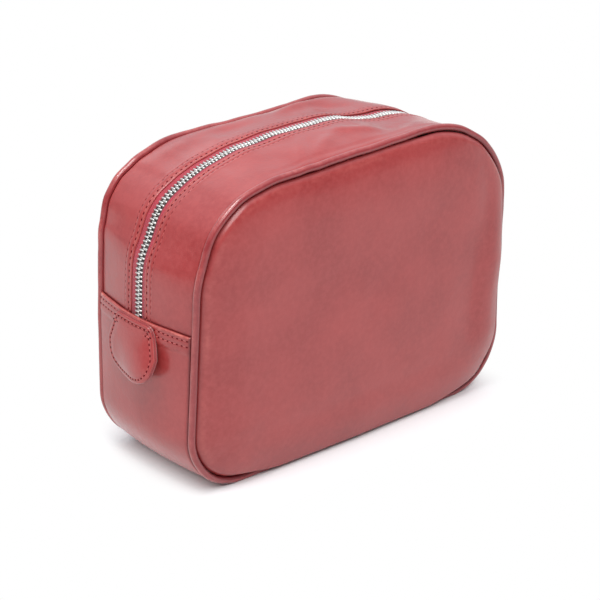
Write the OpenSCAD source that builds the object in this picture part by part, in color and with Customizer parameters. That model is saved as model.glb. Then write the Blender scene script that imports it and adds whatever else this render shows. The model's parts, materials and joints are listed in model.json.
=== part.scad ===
// Zipped wash bag in smooth leather, standing on its base. Lengths in mm.
// X runs along the bag, Y from front to back, Z up. The front panel faces -Y.
// Origin: centre of the base, on the surface that the bag stands on.

/* [Bag] */
// Length over the two end faces
bag_w = 242; // [220:1:270]
// Height over the piping
bag_h = 182; // [172:1:210]
// Depth over the front and back piping
bag_d = 90; // [76:1:110]
// Corner radius at the top of the panels
top_r = 60; // [50:1:64]
// Corner radius at the bottom of the panels
bottom_r = 38; // [24:1:50]
// Height of the end hems, where the mouth begins
hem_h = 100; // [84:1:101]
// Swell of the front and back panels
panel_dome = 12; // [4:0.5:16]
// Width over which the swell rises from the piping
dome_zone = 38; // [24:1:50]

/* [Leather] */
// Thickness of the leather
leather_t = 1.2; // [0.8:0.1:1.4]
// Thickness of the folded end hems
hem_t = 1.6; // [1.4:0.1:2]
// Height of the folded end hems
hem_w = 10; // [6:0.5:14]
// Width of the turned seam allowances
seam_w = 9; // [7:0.5:11]
// Length of the zip strips' ends tucked under the hems
tuck = 8; // [4:0.5:11]
// Outer diameter of the piping
pipe_d = 4; // [3.4:0.1:5]
// Diameter of the cord inside the piping
cord_d = 2; // [1.4:0.1:2.4]

/* [Inside] */
// Thickness of the lining cloth
lining_t = 0.5; // [0.3:0.1:0.8]
// Thickness of the base board
board_t = 1.5; // [1:0.1:2.5]

/* [Zip] */
// Width of the slot between the two zip strips
slot_w = 11.6; // [11:0.2:16]
// Width of each zip tape
tape_w = 13.3; // [11:0.1:16]
// Thickness of the zip tape
tape_t = 0.6; // [0.4:0.1:0.8]
// Distance from one tooth to the next on the same tape
tooth_pitch = 2.54; // [2.5:0.02:3]
// Length of a tooth along the zip
tooth_l = 1.14; // [0.9:0.02:1.16]
// Thickness of a tooth through the tape
tooth_h = 2.4; // [2:0.1:2.8]
// Width of the closed row of teeth
chain_w = 6; // [5.6:0.1:6.4]
// How far each tooth reaches past the middle of the zip
tooth_reach = 0.6; // [0.3:0.1:0.8]
// Length of the stop at the closed end of each tape
stop_l = 4; // [3:0.5:5]

/* [Slider] */
// Length of the slider
slider_l = 12; // [10:0.5:14]
// Thickness of the slider's two plates and its side lips
plate_t = 1; // [0.8:0.1:1.2]
// Width of the slider's bridge
bridge_w = 2.2; // [1.6:0.1:2.6]
// Thickness of the slider's bridge
bridge_t = 0.9; // [0.7:0.1:1.2]
// Length of the puller from its pin to its tip
puller_l = 28; // [20:1:40]
// Width of the puller at its tip
puller_w = 8; // [7:0.5:10]
// Thickness of the puller, and diameter of its pin
puller_t = 1.3; // [1:0.1:1.6]

/* [Tab] */
// Length of the leather tab with its sewn root
tab_l = 40; // [36:1:50]
// Width of the tab at the hem
tab_top_w = 31; // [24:1:34]
// Width of the tab at its widest
tab_w = 46; // [36:1:52]
// Distance of the tab's middle behind the middle of the end
tab_y = 6; // [0:1:10]
// Height of the tab's sewn root
root_h = 6; // [4:0.5:9]

/* [Hidden] */
$fn = 64;

// Clearances
seat_gap = 0.1;              // between layers that are sewn or glued together
fit_gap = 0.3;               // between leather pieces that move apart
slide_gap = 0.4;             // between the slider and what runs through it
fold_gap = 0.3;              // between the lower and the upper panels, at the mouth's fold
pin_gap = 0.35;              // round the puller's pin and beside the bridge
stop_gap = 0.8;              // between the stops of the two tapes
lining_rise = 6;             // from the seam allowance to where the lining starts to swell

// Levels across the depth of the front, all as distances from the middle plane
pipe_y = bag_d / 2 - pipe_d / 2;
panel_y = pipe_y + leather_t / 2;
wall_y = bag_d / 2 - pipe_d;
turned_y = wall_y - leather_t;
lining_y = turned_y - seat_gap;
inner_y = lining_y - lining_t - seat_gap;
far = bag_w + bag_h;

// Depths below the outline of the ends and the top
strip_out = hem_t + fit_gap;
strip_in = strip_out + leather_t;
tape_out = strip_in + seat_gap / 2;
tape_in = tape_out + tape_t;
chain_mid = (tape_out + tape_in) / 2;
strip_lining_out = tape_in + seat_gap / 2;
gusset_lining_out = leather_t + board_t + seat_gap;
lining_edge = strip_in + fit_gap;
panel_edge = pipe_d + seat_gap / 2;

fold_z = hem_h + fold_gap;
arc_z = bag_h - top_r;       // where the zip's right-hand bend begins, and the closed slider sits
tape_edge = tooth_reach * 2; // half the space between the two tapes
stop_z = arc_z - slider_l / 2 - slide_gap;
tuck_z = hem_h - tuck;

// Slider and puller, about the slider's middle
channel_w = chain_w + 2 * slide_gap;
slider_w = channel_w + 2 * plate_t;
plate_out = chain_mid - tooth_h / 2 - slide_gap - plate_t;
plate_in = chain_mid + tooth_h / 2 + slide_gap + plate_t;
wedge_w = 2 * (tape_edge - slide_gap);
wedge_l = slider_l / 3;
bridge_l = slider_l * 0.75;
post_l = bridge_t * 1.3;
pin_h = max(plate_out, 0) + fit_gap + puller_t / 2;  // the pin's height above the slider's plate
bridge_in = pin_h + puller_t / 2 + pin_gap;
pin_z = -bridge_l / 2 + post_l + pin_gap + puller_t / 2;
eye_w = bridge_w + 2 * pin_gap;
neck_w = eye_w + 2 * puller_t;
eye_l = slider_l * 0.4;

leather_red = "#b4484c";
piping_red = "#a03c42";
lining_tan = "#c9b79c";
zip_crimson = "#b01e3a";
metal = "#c8c8cc";

// Outline of a panel in XZ, drawn in by a distance
module outline(inset) {
  for (s = [-1, 1]) {
    translate([s * (bag_w / 2 - top_r), arc_z]) circle(top_r - inset);
    translate([s * (bag_w / 2 - bottom_r), bottom_r]) circle(bottom_r - inset);
  }
  translate([inset - bag_w / 2, bottom_r]) square([bag_w - 2 * inset, arc_z - bottom_r]);
  translate([top_r - bag_w / 2, bottom_r]) square([bag_w - 2 * top_r, bag_h - inset - bottom_r]);
  translate([bottom_r - bag_w / 2, inset]) square([bag_w - 2 * bottom_r, arc_z - inset]);
}

// Ring between two depths below the outline
module ring(near, deep) {
  difference() {
    outline(near);
    outline(deep);
  }
}

module above(z) {
  intersection() {
    children();
    translate([-far / 2, z]) square([far, far]);
  }
}

module below(z) {
  intersection() {
    children();
    translate([-far / 2, z - far]) square([far, far]);
  }
}

// Stands an XZ drawing up and gives it depth from y0 to y1
module across(y0, y1) {
  translate([0, y1, 0]) rotate([90, 0, 0]) linear_extrude(y1 - y0) children();
}

module back_side() {
  mirror([0, 1, 0]) children();
}

// Distance of a point of a panel from the outline
function edge_distance(x, z) =
  let(
    high = z > (bottom_r + arc_z) / 2,
    r = high ? top_r : bottom_r,
    px = abs(x) - (bag_w / 2 - r),
    pz = high ? z - arc_z : r - z
  )
  px > 0 && pz > 0 ? r - norm([px, pz]) : min(bag_w / 2 - abs(x), high ? bag_h - z : z);

// Swell of a panel, from nothing at a distance from the outline to its full height
function swell(x, z, start) =
  let(s = min(1, max(0, (edge_distance(x, z) - start) / dome_zone)))
  panel_dome * (1 - (1 - s) ^ 2.5);

arc_steps = 9;
rise_steps = 5;
// Heights and half widths of a panel's rows, from the lowest to the highest
function arc_row(r, inset, a) = [(r - inset) * sin(a), bag_w / 2 - r + (r - inset) * cos(a)];
function upper_rows(inset) = concat(
  [for (k = [0:rise_steps]) [fold_z + (arc_z - fold_z) * k / rise_steps, bag_w / 2 - inset]],
  [for (k = [1:arc_steps]) let(p = arc_row(top_r, inset, 90 * k / arc_steps)) [arc_z + p[0], p[1]]]
);
function lower_rows(inset) = concat(
  [for (k = [arc_steps:-1:1]) let(p = arc_row(bottom_r, inset, 90 * k / arc_steps)) [bottom_r - p[0], p[1]]],
  [for (k = [0:rise_steps]) [bottom_r + (hem_h - bottom_r) * k / rise_steps, bag_w / 2 - inset]]
);

// Swelling sheet over a panel's rows: its outer face lies at y = -level at the edge
columns = 22;
module swelling_sheet(rows, level, thickness, start) {
  n = columns + 1;
  m = len(rows);
  points = [
    for (back = [0, 1], row = rows, c = [0:columns])
      let(x = row[1] * sin(180 * c / columns - 90), z = row[0])
      [x, back * thickness - level - swell(x, z, start), z]
  ];
  function at(back, r, c) = back * n * m + r * n + c;
  edge = concat(
    [for (c = [0:columns]) [0, c]],
    [for (r = [1:m - 1]) [r, columns]],
    [for (c = [columns - 1:-1:0]) [m - 1, c]],
    [for (r = [m - 2:-1:1]) [r, 0]]
  );
  faces = concat(
    [for (r = [0:m - 2], c = [0:columns - 1]) [at(0, r, c), at(0, r + 1, c), at(0, r + 1, c + 1)]],
    [for (r = [0:m - 2], c = [0:columns - 1]) [at(0, r, c), at(0, r + 1, c + 1), at(0, r, c + 1)]],
    [for (r = [0:m - 2], c = [0:columns - 1]) [at(1, r, c), at(1, r + 1, c + 1), at(1, r + 1, c)]],
    [for (r = [0:m - 2], c = [0:columns - 1]) [at(1, r, c), at(1, r, c + 1), at(1, r + 1, c + 1)]],
    [for (k = [0:len(edge) - 1])
      let(a = edge[k], b = edge[(k + 1) % len(edge)]) [at(0, a[0], a[1]), at(0, b[0], b[1]), at(1, b[0], b[1])]],
    [for (k = [0:len(edge) - 1])
      let(a = edge[k], b = edge[(k + 1) % len(edge)]) [at(0, a[0], a[1]), at(1, b[0], b[1]), at(1, a[0], a[1])]]
  );
  polyhedron(points, faces);
}

module panel(rows) {
  color(leather_red) swelling_sheet(rows, panel_y, leather_t, panel_edge);
}

module panel_lining(rows) {
  color(lining_tan) swelling_sheet(rows, lining_y, lining_t, seam_w + lining_rise);
}

// Round section led along the lower or the upper half of the front edge
module bead(d, upper) {
  r = upper ? top_r : bottom_r;
  turn_z = upper ? arc_z : bottom_r;
  end_z = upper ? fold_z : hem_h;
  level_z = upper ? bag_h - pipe_d / 2 : pipe_d / 2;
  for (s = [0, 1]) mirror([s, 0, 0]) {
    translate([(bag_w - pipe_d) / 2, -pipe_y, min(turn_z, end_z)]) cylinder(d = d, h = abs(end_z - turn_z));
    translate([bag_w / 2 - r, -pipe_y, turn_z]) rotate([90, 0, 0]) rotate([0, 0, upper ? 0 : -90])
      rotate_extrude(angle = 90) translate([r - pipe_d / 2, 0]) circle(d = d);
  }
  translate([0, -pipe_y, level_z]) rotate([0, 90, 0]) cylinder(d = d, h = bag_w - 2 * r, center = true);
}

// Leather cover: a tube round the cord, with its two flanges caught flat in the seam
module piping(upper) {
  color(piping_red) difference() {
    union() {
      bead(pipe_d, upper);
      across(-panel_y + leather_t, -wall_y) {
        if (upper) above(fold_z) ring(pipe_d / 2, seam_w);
        else below(hem_h) ring(pipe_d / 2, seam_w);
      }
    }
    bead(cord_d + 2 * seat_gap, upper);
  }
}

module piping_cord(upper) {
  color(lining_tan) bead(cord_d, upper);
}

// Base and both ends in one strip, with turned edges and a folded hem at each top
module base_gusset() {
  color(leather_red) {
    across(-wall_y, wall_y) below(hem_h) ring(0, leather_t);
    across(-turned_y, turned_y) above(hem_h - hem_w) below(hem_h) ring(0, hem_t);
    for (s = [-1, 1]) translate([0, s * (turned_y + leather_t / 2), 0])
      across(-leather_t / 2, leather_t / 2) below(hem_h) ring(0, seam_w);
  }
}

module base_board() {
  color("#8a7a66") translate([0, 0, leather_t + board_t / 2])
    cube([bag_w - 2 * bottom_r, 2 * inner_y, board_t], center = true);
}

module gusset_lining() {
  color(lining_tan) across(-inner_y, inner_y)
    below(tuck_z - fit_gap) ring(gusset_lining_out, gusset_lining_out + lining_t);
}

// Strip beside the zip, turned in along the panel's seam, its two ends tucked under the hems
module zip_strip() {
  color(leather_red) {
    across(-wall_y, -slot_w / 2) above(fold_z) ring(strip_out, strip_in);
    across(-wall_y, -turned_y) above(fold_z) ring(strip_out, seam_w);
    across(-inner_y, -slot_w / 2) above(tuck_z) below(fold_z) ring(strip_out, strip_in);
  }
}

module strip_lining() {
  color(lining_tan) across(-inner_y, -slider_w / 2 - slide_gap)
    above(tuck_z) ring(strip_lining_out, strip_lining_out + lining_t);
}

module zip_tape() {
  color(zip_crimson) across(-tape_edge - tape_w, -tape_edge) above(tuck_z) ring(tape_out, tape_in);
}

// Place along the zip at a distance from the left hem: x, z and the turn of the outward normal
function zip_place(s) =
  let(
    r = top_r - chain_mid,
    rise = arc_z - hem_h,
    bend = r * PI / 2,
    top = bag_w - 2 * top_r,
    side = bag_w / 2 - chain_mid
  )
  s < rise ? [-side, hem_h + s, 180]
  : s < rise + bend ? let(a = 180 - (s - rise) / r * 180 / PI) [r * cos(a) - bag_w / 2 + top_r, arc_z + r * sin(a), a]
  : s < rise + bend + top ? [s - rise - bend - top / 2, bag_h - chain_mid, 90]
  : s < rise + 2 * bend + top
    ? let(a = 90 - (s - rise - bend - top) / r * 180 / PI) [r * cos(a) + bag_w / 2 - top_r, arc_z + r * sin(a), a]
  : [side, arc_z - (s - rise - 2 * bend - top), 0];
zip_l = arc_z - hem_h + (top_r - chain_mid) * PI + bag_w - 2 * top_r;

// Metal clip on the edge of a tape: a head past the edge and a leg on each face of the tape
module clip(length, reach) {
  rotate([90, 0, 90]) linear_extrude(length, center = true) polygon([
    [reach, -tooth_h / 2],
    [reach, tooth_h / 2],
    [-chain_w / 2, tooth_h / 2],
    [-chain_w / 2, tape_t / 2 + seat_gap / 2],
    [seat_gap - tape_edge, tape_t / 2 + seat_gap / 2],
    [seat_gap - tape_edge, -tape_t / 2 - seat_gap / 2],
    [-chain_w / 2, -tape_t / 2 - seat_gap / 2],
    [-chain_w / 2, -tooth_h / 2],
  ]);
}

// Row of teeth of one tape and its stop; the back row starts half a pitch later
module teeth(start) {
  color(metal) {
    for (s = [start:tooth_pitch:zip_l]) {
      p = zip_place(s);
      translate([p[0], 0, p[1]]) rotate([0, 90 - p[2], 0]) clip(tooth_l, tooth_reach);
    }
    translate([bag_w / 2 - chain_mid, 0, stop_z - stop_l / 2]) rotate([0, 90, 0])
      clip(stop_l, -stop_gap / 2);
  }
}

// Profile in XZ, seen from the front, given depth to both sides of the middle plane
module mid_slab(width) {
  across(-width / 2, width / 2) children();
}

// Slider at the closed end of the zip: two lipped plates, the wedge at its nose, and the bridge
module slider_body() {
  lip = tape_out - slide_gap;
  deep_lip = tape_in + slide_gap;
  color(metal) translate([bag_w / 2, 0, arc_z]) {
    mid_slab(slider_w) {
      translate([-plate_out - plate_t, -slider_l / 2]) square([plate_t, slider_l]);
      translate([-plate_in, -slider_l / 2]) square([plate_t, slider_l]);
    }
    for (s = [-1, 1]) translate([0, s * (channel_w + plate_t) / 2, 0]) mid_slab(plate_t) {
      translate([-lip, -slider_l / 2]) square([lip - plate_out, slider_l]);
      translate([-plate_in, -slider_l / 2]) square([plate_in - deep_lip, slider_l]);
    }
    mid_slab(wedge_w) translate([-plate_in, -slider_l / 2]) square([plate_in - plate_out, wedge_l]);
    mid_slab(bridge_w) difference() {
      translate([-plate_out - plate_t, -bridge_l / 2]) square([plate_t + bridge_in + bridge_t, bridge_l]);
      translate([-plate_out, -bridge_l / 2 + post_l]) square([bridge_in, bridge_l - 2 * post_l]);
    }
  }
}

// Puller hanging from its pin under the bridge
module puller() {
  tip_r = puller_w / 2;
  color(metal) translate([bag_w / 2 - plate_out + pin_h, 0, arc_z + pin_z]) {
    rotate([90, 0, 0]) cylinder(d = puller_t, h = neck_w, center = true);
    rotate([0, -90, 0]) linear_extrude(puller_t, center = true) {
      for (s = [-1, 1]) translate([-eye_l, s * (eye_w + puller_t) / 2 - puller_t / 2])
        square([eye_l, puller_t]);
      polygon([
        [-eye_l, -neck_w / 2],
        [-eye_l, neck_w / 2],
        [tip_r - puller_l, tip_r],
        [tip_r - puller_l, -tip_r],
      ]);
      translate([tip_r - puller_l, 0]) circle(tip_r);
    }
  }
}

// Outline of the tab in YZ below the hem's top edge, narrow at the hem and round at its tip
module tab_outline() {
  tip_r = tab_w / 2;
  polygon([[0, -tab_top_w / 2], [0, tab_top_w / 2], [tip_r - tab_l, tip_r], [tip_r - tab_l, -tip_r]]);
  translate([tip_r - tab_l, 0]) circle(tip_r);
}

// Stands the tab's outline against the left end, from one distance off the leather to another
module on_left_end(from_x, to_x) {
  translate([-bag_w / 2 - to_x, tab_y, hem_h]) rotate([0, -90, 0]) mirror([0, 0, 1])
    linear_extrude(to_x - from_x) children();
}

module tab_strip(from_x, to_x, from_z, to_z) {
  on_left_end(from_x, to_x) intersection() {
    tab_outline();
    translate([-to_z, -tab_w]) square([to_z - from_z, 2 * tab_w]);
  }
}

// Sewn root of the tab: both layers, caught on the hem
module tab_root() {
  color(leather_red) tab_strip(0, 2 * leather_t, 0, root_h);
}

module tab_tongue() {
  color(leather_red) tab_strip(fit_gap + leather_t, fit_gap + 2 * leather_t, root_h + fold_gap, tab_l);
}

module tab_backing() {
  color(piping_red) tab_strip(fit_gap, fit_gap + leather_t, root_h + fold_gap, tab_l);
}

module front_panel_lower() panel(lower_rows(panel_edge));
module front_panel_upper() panel(upper_rows(panel_edge));
module front_lining_lower() panel_lining(lower_rows(lining_edge));
module front_lining_upper() panel_lining(upper_rows(lining_edge));

base_gusset();
base_board();
gusset_lining();
front_panel_lower();
front_panel_upper();
back_side() front_panel_lower();  // back_panel_lower
back_side() front_panel_upper();  // back_panel_upper
front_lining_lower();
front_lining_upper();
back_side() front_lining_lower();  // back_lining_lower
back_side() front_lining_upper();  // back_lining_upper
piping(false);  // front_piping_lower
piping(true);  // front_piping_upper
back_side() piping(false);  // back_piping_lower
back_side() piping(true);  // back_piping_upper
piping_cord(false);  // front_piping_cord_lower
piping_cord(true);  // front_piping_cord_upper
back_side() piping_cord(false);  // back_piping_cord_lower
back_side() piping_cord(true);  // back_piping_cord_upper
zip_strip();  // front_zip_strip
back_side() zip_strip();  // back_zip_strip
strip_lining();  // front_strip_lining
back_side() strip_lining();  // back_strip_lining
zip_tape();  // front_zip_tape
back_side() zip_tape();  // back_zip_tape
teeth(0);  // front_teeth
back_side() teeth(tooth_pitch / 2);  // back_teeth
slider_body();
puller();
tab_root();
tab_tongue();
tab_backing();
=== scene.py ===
# A zipped leather wash bag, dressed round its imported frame. Lengths are in mm until a mesh is finished.
import json
import math
from functools import partial

import bmesh
import bpy
from mathutils import Matrix, Vector, noise


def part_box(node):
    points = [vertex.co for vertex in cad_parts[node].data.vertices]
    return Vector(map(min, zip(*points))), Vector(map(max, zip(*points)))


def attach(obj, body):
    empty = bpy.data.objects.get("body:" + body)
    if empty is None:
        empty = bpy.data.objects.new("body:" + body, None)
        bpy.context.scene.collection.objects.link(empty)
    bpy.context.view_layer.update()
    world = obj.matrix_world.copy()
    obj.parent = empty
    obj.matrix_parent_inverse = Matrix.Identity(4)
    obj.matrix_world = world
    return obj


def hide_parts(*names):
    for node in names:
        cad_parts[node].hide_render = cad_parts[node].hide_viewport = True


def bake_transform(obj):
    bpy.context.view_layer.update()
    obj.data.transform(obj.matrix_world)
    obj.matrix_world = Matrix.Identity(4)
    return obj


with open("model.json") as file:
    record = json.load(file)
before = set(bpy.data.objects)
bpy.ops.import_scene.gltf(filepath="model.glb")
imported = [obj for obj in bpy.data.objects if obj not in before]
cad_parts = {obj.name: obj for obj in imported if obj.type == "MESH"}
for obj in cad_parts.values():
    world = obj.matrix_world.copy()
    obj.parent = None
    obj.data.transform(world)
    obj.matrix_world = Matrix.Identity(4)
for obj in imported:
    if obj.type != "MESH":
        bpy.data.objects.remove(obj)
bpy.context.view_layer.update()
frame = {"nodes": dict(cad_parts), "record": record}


def boxInMm(node):
    return [[round(v * 1000, 3) for v in corner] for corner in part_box(node)]


def jointPlace(name):
    row = next(joint for joint in frame["record"]["behaviour"]["joints"] if joint["name"] == name)
    return [v * 1000 for v in row["pos_m"]]


def mix(a, b, t):
    return a + (b - a) * t


def linear(low, high, value):  # 0 below low, 1 above high
    return min(1, max(0, (value - low) / (high - low)))


def smooth(low, high, value):
    t = linear(low, high, value)
    return t * t * (3 - 2 * t)


def bell(t):  # 1 at 0, about a third at 1
    return math.exp(-t * t)


def through(pairs, value, ease=linear):  # a line through pairs of value and result, straight or smooth
    for (a, p), (b, q) in zip(pairs, pairs[1:]):
        if value <= b:
            return mix(p, q, ease(a, b, value))
    return pairs[-1][1]


def waver(point, size, seed):  # soft noise within -1..1 that changes over a size in mm
    return noise.noise(Vector(point) / size + Vector((seed, 0, 0)))


def uneven(wave, point):  # a wave is a height, a size and a seed
    high, size, seed = wave
    return high * waver(point, size, seed)


# The outline of the bag comes from the frame. The rest says how the soft bag stands beside it.
gussetLow, gussetHigh = boxInMm("base_gusset")
boardEnd = boxInMm("base_board")[1][0]
bag = {
    "width": gussetHigh[0] - gussetLow[0],
    "height": boxInMm("front_piping_upper")[1][2],
    "topRadius": gussetHigh[0] - jointPlace("zip_travel")[0],
    "bottomRadius": gussetHigh[0] - boardEnd,  # the board ends where the base begins to curve up
    "hemLevel": gussetHigh[2],
    "pipeAcross": 43,  # from the zip's middle to the middle of a piping
    "baseWiden": 3,  # how much longer the real bag is at its base, and shorter at its top
    "topNarrow": 8.1,
    "rise": 0.9,
    "frontReach": (41.6, 50.4),  # from the middle plane to the front piping, at the base and at the top
    "backReach": (42.9, 46.4),
    "zipBand": 12,  # half of the width beside the zip that doesn't stretch
    "hemRaise": 1.5,
    "hemWave": (0.5, 17, 9),  # unevenness of the hems: height, size and seed
    "zipDrift": 0.9,  # how far the zip has crept to the back
    "wave": (0.5, 34, 3),  # unevenness of the walls, gone from the base
    "waveEnds": (230, 280),
}
# How far each piping stands out of the plain outline, by run: base, left end, top, right end and base again
pipeSway = {
    -1: [(-382, 0), (-300, 0), (-262, 1), (-240, 2), (-200, 1.5), (-158, 1), (-135, 1), (-113, 3.5), (-95, 3),
         (-73, 1), (-50, 1.2), (0, 2.4), (28, 3), (56, 2.2), (77, 1.4), (93, 1.6), (112, 2.6), (139, 3.6),
         (157, 2.6), (187, 1), (217, -1.2), (250, -0.8), (285, 0.3), (382, 0)],
    1: [(-382, 0), (-262, -0.8), (-240, 0), (-194, -0.5), (-170, -1.5), (-150, -2.2), (-135, -0.5),
        (-118, 2.6), (-108, 2.8), (-95, 1), (-80, -0.5), (-60, -0.5), (0, -2), (50, -1), (100, 0), (382, 0)],
}
# How far the walls swell midway between the pipings, by run
wallCrown = [(-300, 0), (-235, 4.5), (-190, 6.3), (-150, 6.3), (-120, 2.2), (-90, 0.8), (-74, 1.8), (-47, 5),
             (-18, 6.8), (10, 6.4), (45, 2.6), (80, 0.4), (110, 1.2), (140, 2), (235, 2), (300, 0)]
halfTop = bag["width"] / 2 - bag["topRadius"]
topArc = bag["topRadius"] * math.pi / 2
sideRun = bag["height"] - bag["topRadius"] - bag["bottomRadius"]
bottomArc = bag["bottomRadius"] * math.pi / 2
halfBottom = bag["width"] / 2 - bag["bottomRadius"]
halfRim = halfTop + topArc + sideRun + bottomArc + halfBottom
hemRun = halfTop + topArc + bag["height"] - bag["topRadius"] - bag["hemLevel"]


# A run is a distance along the panels' outline from the middle of the top, positive to the right.
def rim(run, depth):  # a point of the outline drawn in by a depth, and the outward normal there
    turn = 1 if run >= 0 else -1
    run = abs(run)
    if run > halfRim:
        run, turn = 2 * halfRim - run, -turn
    half, top, bottom = bag["width"] / 2, bag["topRadius"], bag["bottomRadius"]
    if run < halfTop:
        x, z, nx, nz = run, bag["height"] - depth, 0, 1
    elif run < halfTop + topArc:
        a = (run - halfTop) / top
        nx, nz = math.sin(a), math.cos(a)
        x, z = half - top + (top - depth) * nx, bag["height"] - top + (top - depth) * nz
    elif run < halfTop + topArc + sideRun:
        x, z, nx, nz = half - depth, bag["height"] - top - (run - halfTop - topArc), 1, 0
    elif run < halfRim - halfBottom:
        a = (run - halfTop - topArc - sideRun) / bottom
        nx, nz = math.cos(a), -math.sin(a)
        x, z = half - bottom + (bottom - depth) * nx, bottom + (bottom - depth) * nz
    else:
        x, z, nx, nz = halfRim - run, depth, 0, -1
    return turn * x, z, turn * nx, nz


def depthInside(x, z):  # distance of a point of a panel from the outline
    high = z > bag["height"] / 2
    r = bag["topRadius"] if high else bag["bottomRadius"]
    px = abs(x) - (bag["width"] / 2 - r)
    pz = z - (bag["height"] - r) if high else r - z
    if px > 0 and pz > 0:
        return r - math.hypot(px, pz)
    return min(bag["width"] / 2 - abs(x), bag["height"] - z if high else z)


sag = {  # the back right corner of the top, where the half-empty bag gives way
    "depth": 7, "x": 84, "spread": 22, "levels": (100, 165), "across": (-0.1, 0.9),
    "puff": 2.6, "puffAcross": 0.78, "puffSpread": 0.2,  # the leather pushed up along the back piping
}
# Soft folds across the top: x, distance behind the zip, direction, length, width and height
topFolds = [(-6, -26, 25, 22, 4, 0.9), (22, -24, -18, 18, 3.5, 0.8), (44, -28, 12, 16, 4, -0.9),
            (60, -30, 34, 14, 4, 0.5), (-30, -30, 50, 20, 4, 0.6), (34, 32, 8, 26, 3, 1),
            (52, 22, -14, 18, 4, -0.9), (8, 26, 18, 20, 5, 0.7), (-40, 28, -10, 22, 6, -0.6)]
# What they are multiplied by, the unevenness between them, and the runs over which they begin and end
folds = {"strength": 1.8, "wave": (0.5, 17, 13), "from": (-110, -40), "to": (110, 170)}
# Runs over which the walls take the slider's path and leave it, and how far beside the zip that reaches
hold = {"from": (25, 60), "to": (168, 190), "beside": (15, 43)}


# Takes a point of the outline to where the real bag has it. t runs from -1 at the front to 1 at the back.
def stand(x, z, t):
    level = z / bag["height"]
    across = x * (1 + mix(bag["baseWiden"], -bag["topNarrow"], level) / bag["width"])
    corner = sag["depth"] * bell((x - sag["x"]) / sag["spread"])
    corner *= smooth(*sag["levels"], z)
    corner *= smooth(*sag["across"], t)
    return across, z * (1 + bag["rise"] / bag["height"]) - corner


def reach(side, z):
    return mix(*(bag["frontReach"] if side < 0 else bag["backReach"]), z / bag["height"])


def bendHold(run):  # 1 on the right bend, where the zip keeps to the slider's path
    return smooth(*hold["from"], run) * (1 - smooth(*hold["to"], run))


def swayAt(run, t):  # outward, from the front piping at t = -1 to the back one at t = 1
    near = run - 2 * halfRim if run > halfRim else run
    return mix(through(pipeSway[-1], near, smooth), through(pipeSway[1], near, smooth), (t + 1) / 2)


def foldAt(x, across):
    total = 0
    for middle, back, turn, long, wide, high in topFolds:
        c, s = math.cos(math.radians(turn)), math.sin(math.radians(turn))
        dx, dy = x - middle, across - back
        total += folds["strength"] * high * bell((dx * c + dy * s) / long) * bell((dy * c - dx * s) / wide)
    return total + uneven(folds["wave"], (x, across, 0))


# A point of the ends, the top or the base, at a distance from the zip's line and a depth under the outside
def wallPoint(run, across, depth):
    x, z, nx, nz = rim(run, depth)
    t = across / bag["pipeAcross"]
    px, pz = stand(x, z, t)
    front, back = reach(-1, z), reach(1, z)
    held = bendHold(run)
    middle, half = ((back - front) / 2 + bag["zipDrift"]) * (1 - held), (front + back) / 2
    w = abs(across)
    half -= math.copysign(bag["zipDrift"] * (1 - held), across)
    band = bag["zipBand"]
    if w > band:
        w = band + (w - band) * (half - band) / (bag["pipeAcross"] - band)
    swell = swayAt(run, t) + through(wallCrown, run, smooth) * (1 - t * t)
    swell += uneven(bag["wave"], (x, across, z)) * (1 - t * t) * (1 - smooth(*bag["waveEnds"], abs(run)))
    onTop = smooth(*folds["from"], run) * (1 - smooth(*folds["to"], run))
    puff = onTop * (sag["puff"] * bell((t - sag["puffAcross"]) / sag["puffSpread"]) + foldAt(x, across))
    y = middle + math.copysign(w, across)
    free = Vector((px + nx * (swell + puff), y, pz + nz * (swell + puff)))
    return free.lerp(Vector((x, across, z)), held * (1 - smooth(*hold["beside"], abs(across))))


def hemEdge(across):  # run of a hem's upper edge
    return hemRun - bag["hemRaise"] + uneven(bag["hemWave"], (across, 0, 0))


# A sheet that bends round at its limit by an angle: how far out a point of it lies, and how deep
def bentEdge(along, limit, radius, angle):
    flat = limit - radius
    if along <= flat:
        return along, 0
    a, past = min(angle, (along - flat) / radius), max(0, along - flat - radius * angle)
    out, deep = flat + radius * math.sin(a), radius * (1 - math.cos(a))
    return out + past * math.cos(angle), deep + past * math.sin(angle)


# Materials
def srgb(code):
    parts = [int(code[i:i + 2], 16) / 255 for i in (1, 3, 5)]
    return [c / 12.92 if c <= 0.04045 else ((c + 0.055) / 1.055) ** 2.4 for c in parts] + [1]


def perMm(size):  # texture scale at which a pattern repeats about every size in mm
    return 1000 / size


def addNode(tree, kind, settings=(), links=()):  # a link comes from a socket, or from a node's first output
    node = tree.nodes.new("ShaderNode" + kind)
    for key, value in dict(settings).items():
        if isinstance(key, int) or key in node.inputs:
            node.inputs[key].default_value = value
        else:
            setattr(node, key, value)
    for key, source in dict(links).items():
        socket = source if isinstance(source, bpy.types.NodeSocket) else source.outputs[0]
        tree.links.new(socket, node.inputs[key])
    return node


def newFinish(name):  # a material without nodes, and the function that adds them
    finish = bpy.data.materials.new(name)
    finish.use_nodes = True
    finish.node_tree.nodes.clear()
    return finish, partial(addNode, finish.node_tree)


def closeFinish(add, shader):
    add("OutputMaterial", {}, {"Surface": shader})


# In a colour mix, socket 0 is the factor, 6 and 7 are the colours, and output 2 is the result
mixColour = {"data_type": "RGBA"}


def twoTones(tones):
    return {**mixColour, 6: srgb(tones[0]), 7: srgb(tones[1])}


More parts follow.
